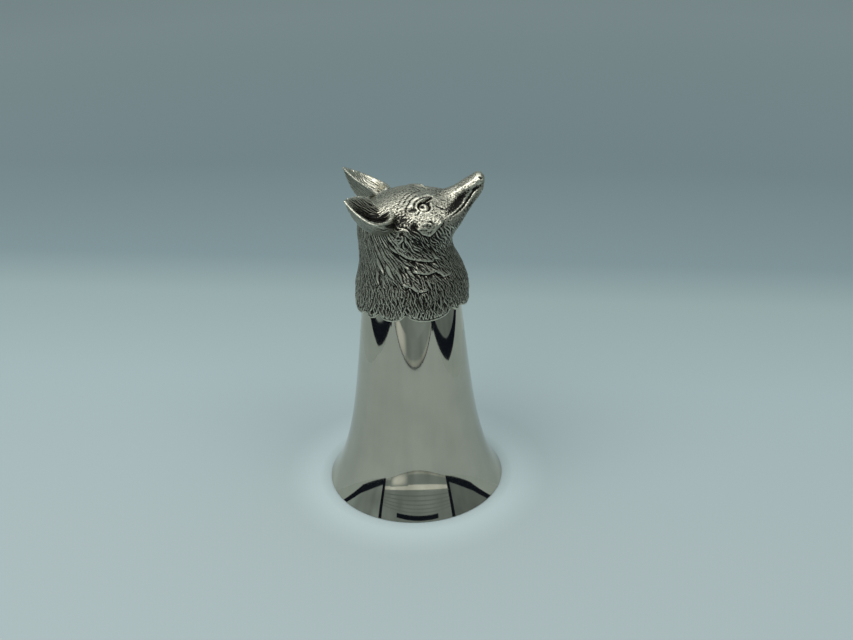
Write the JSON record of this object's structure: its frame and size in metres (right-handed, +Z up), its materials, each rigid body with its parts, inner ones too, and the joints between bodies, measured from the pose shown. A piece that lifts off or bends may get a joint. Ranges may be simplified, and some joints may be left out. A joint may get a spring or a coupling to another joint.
{
  "type": "stirrup cup",
  "caption": "Pewter drinking cup that rests on its flared rim: a tapered spun beaker whose closed end carries a hollow cast fox's head with pricked ears and a scalloped fur ruff",
  "frame": {"origin": "centre of the rim's foot, on the table", "axes": "+Z up the cup's axis, +X the way the fox's muzzle points, -Y the fox's right side"},
  "size_m": [0.076, 0.076, 0.1395],
  "materials": {
    "polished_pewter": "mirror-polished spun pewter",
    "antiqued_pewter": "cast pewter, dark in the recesses and worn bright on the ridges",
    "solder": "plain soft solder"
  },
  "bodies": {
    "root": {"beaker": "polished_pewter", "solder_band": "solder", "fox_head": "antiqued_pewter", "right_ear": "antiqued_pewter", "left_ear": "antiqued_pewter"}
  },
  "joints": []
}
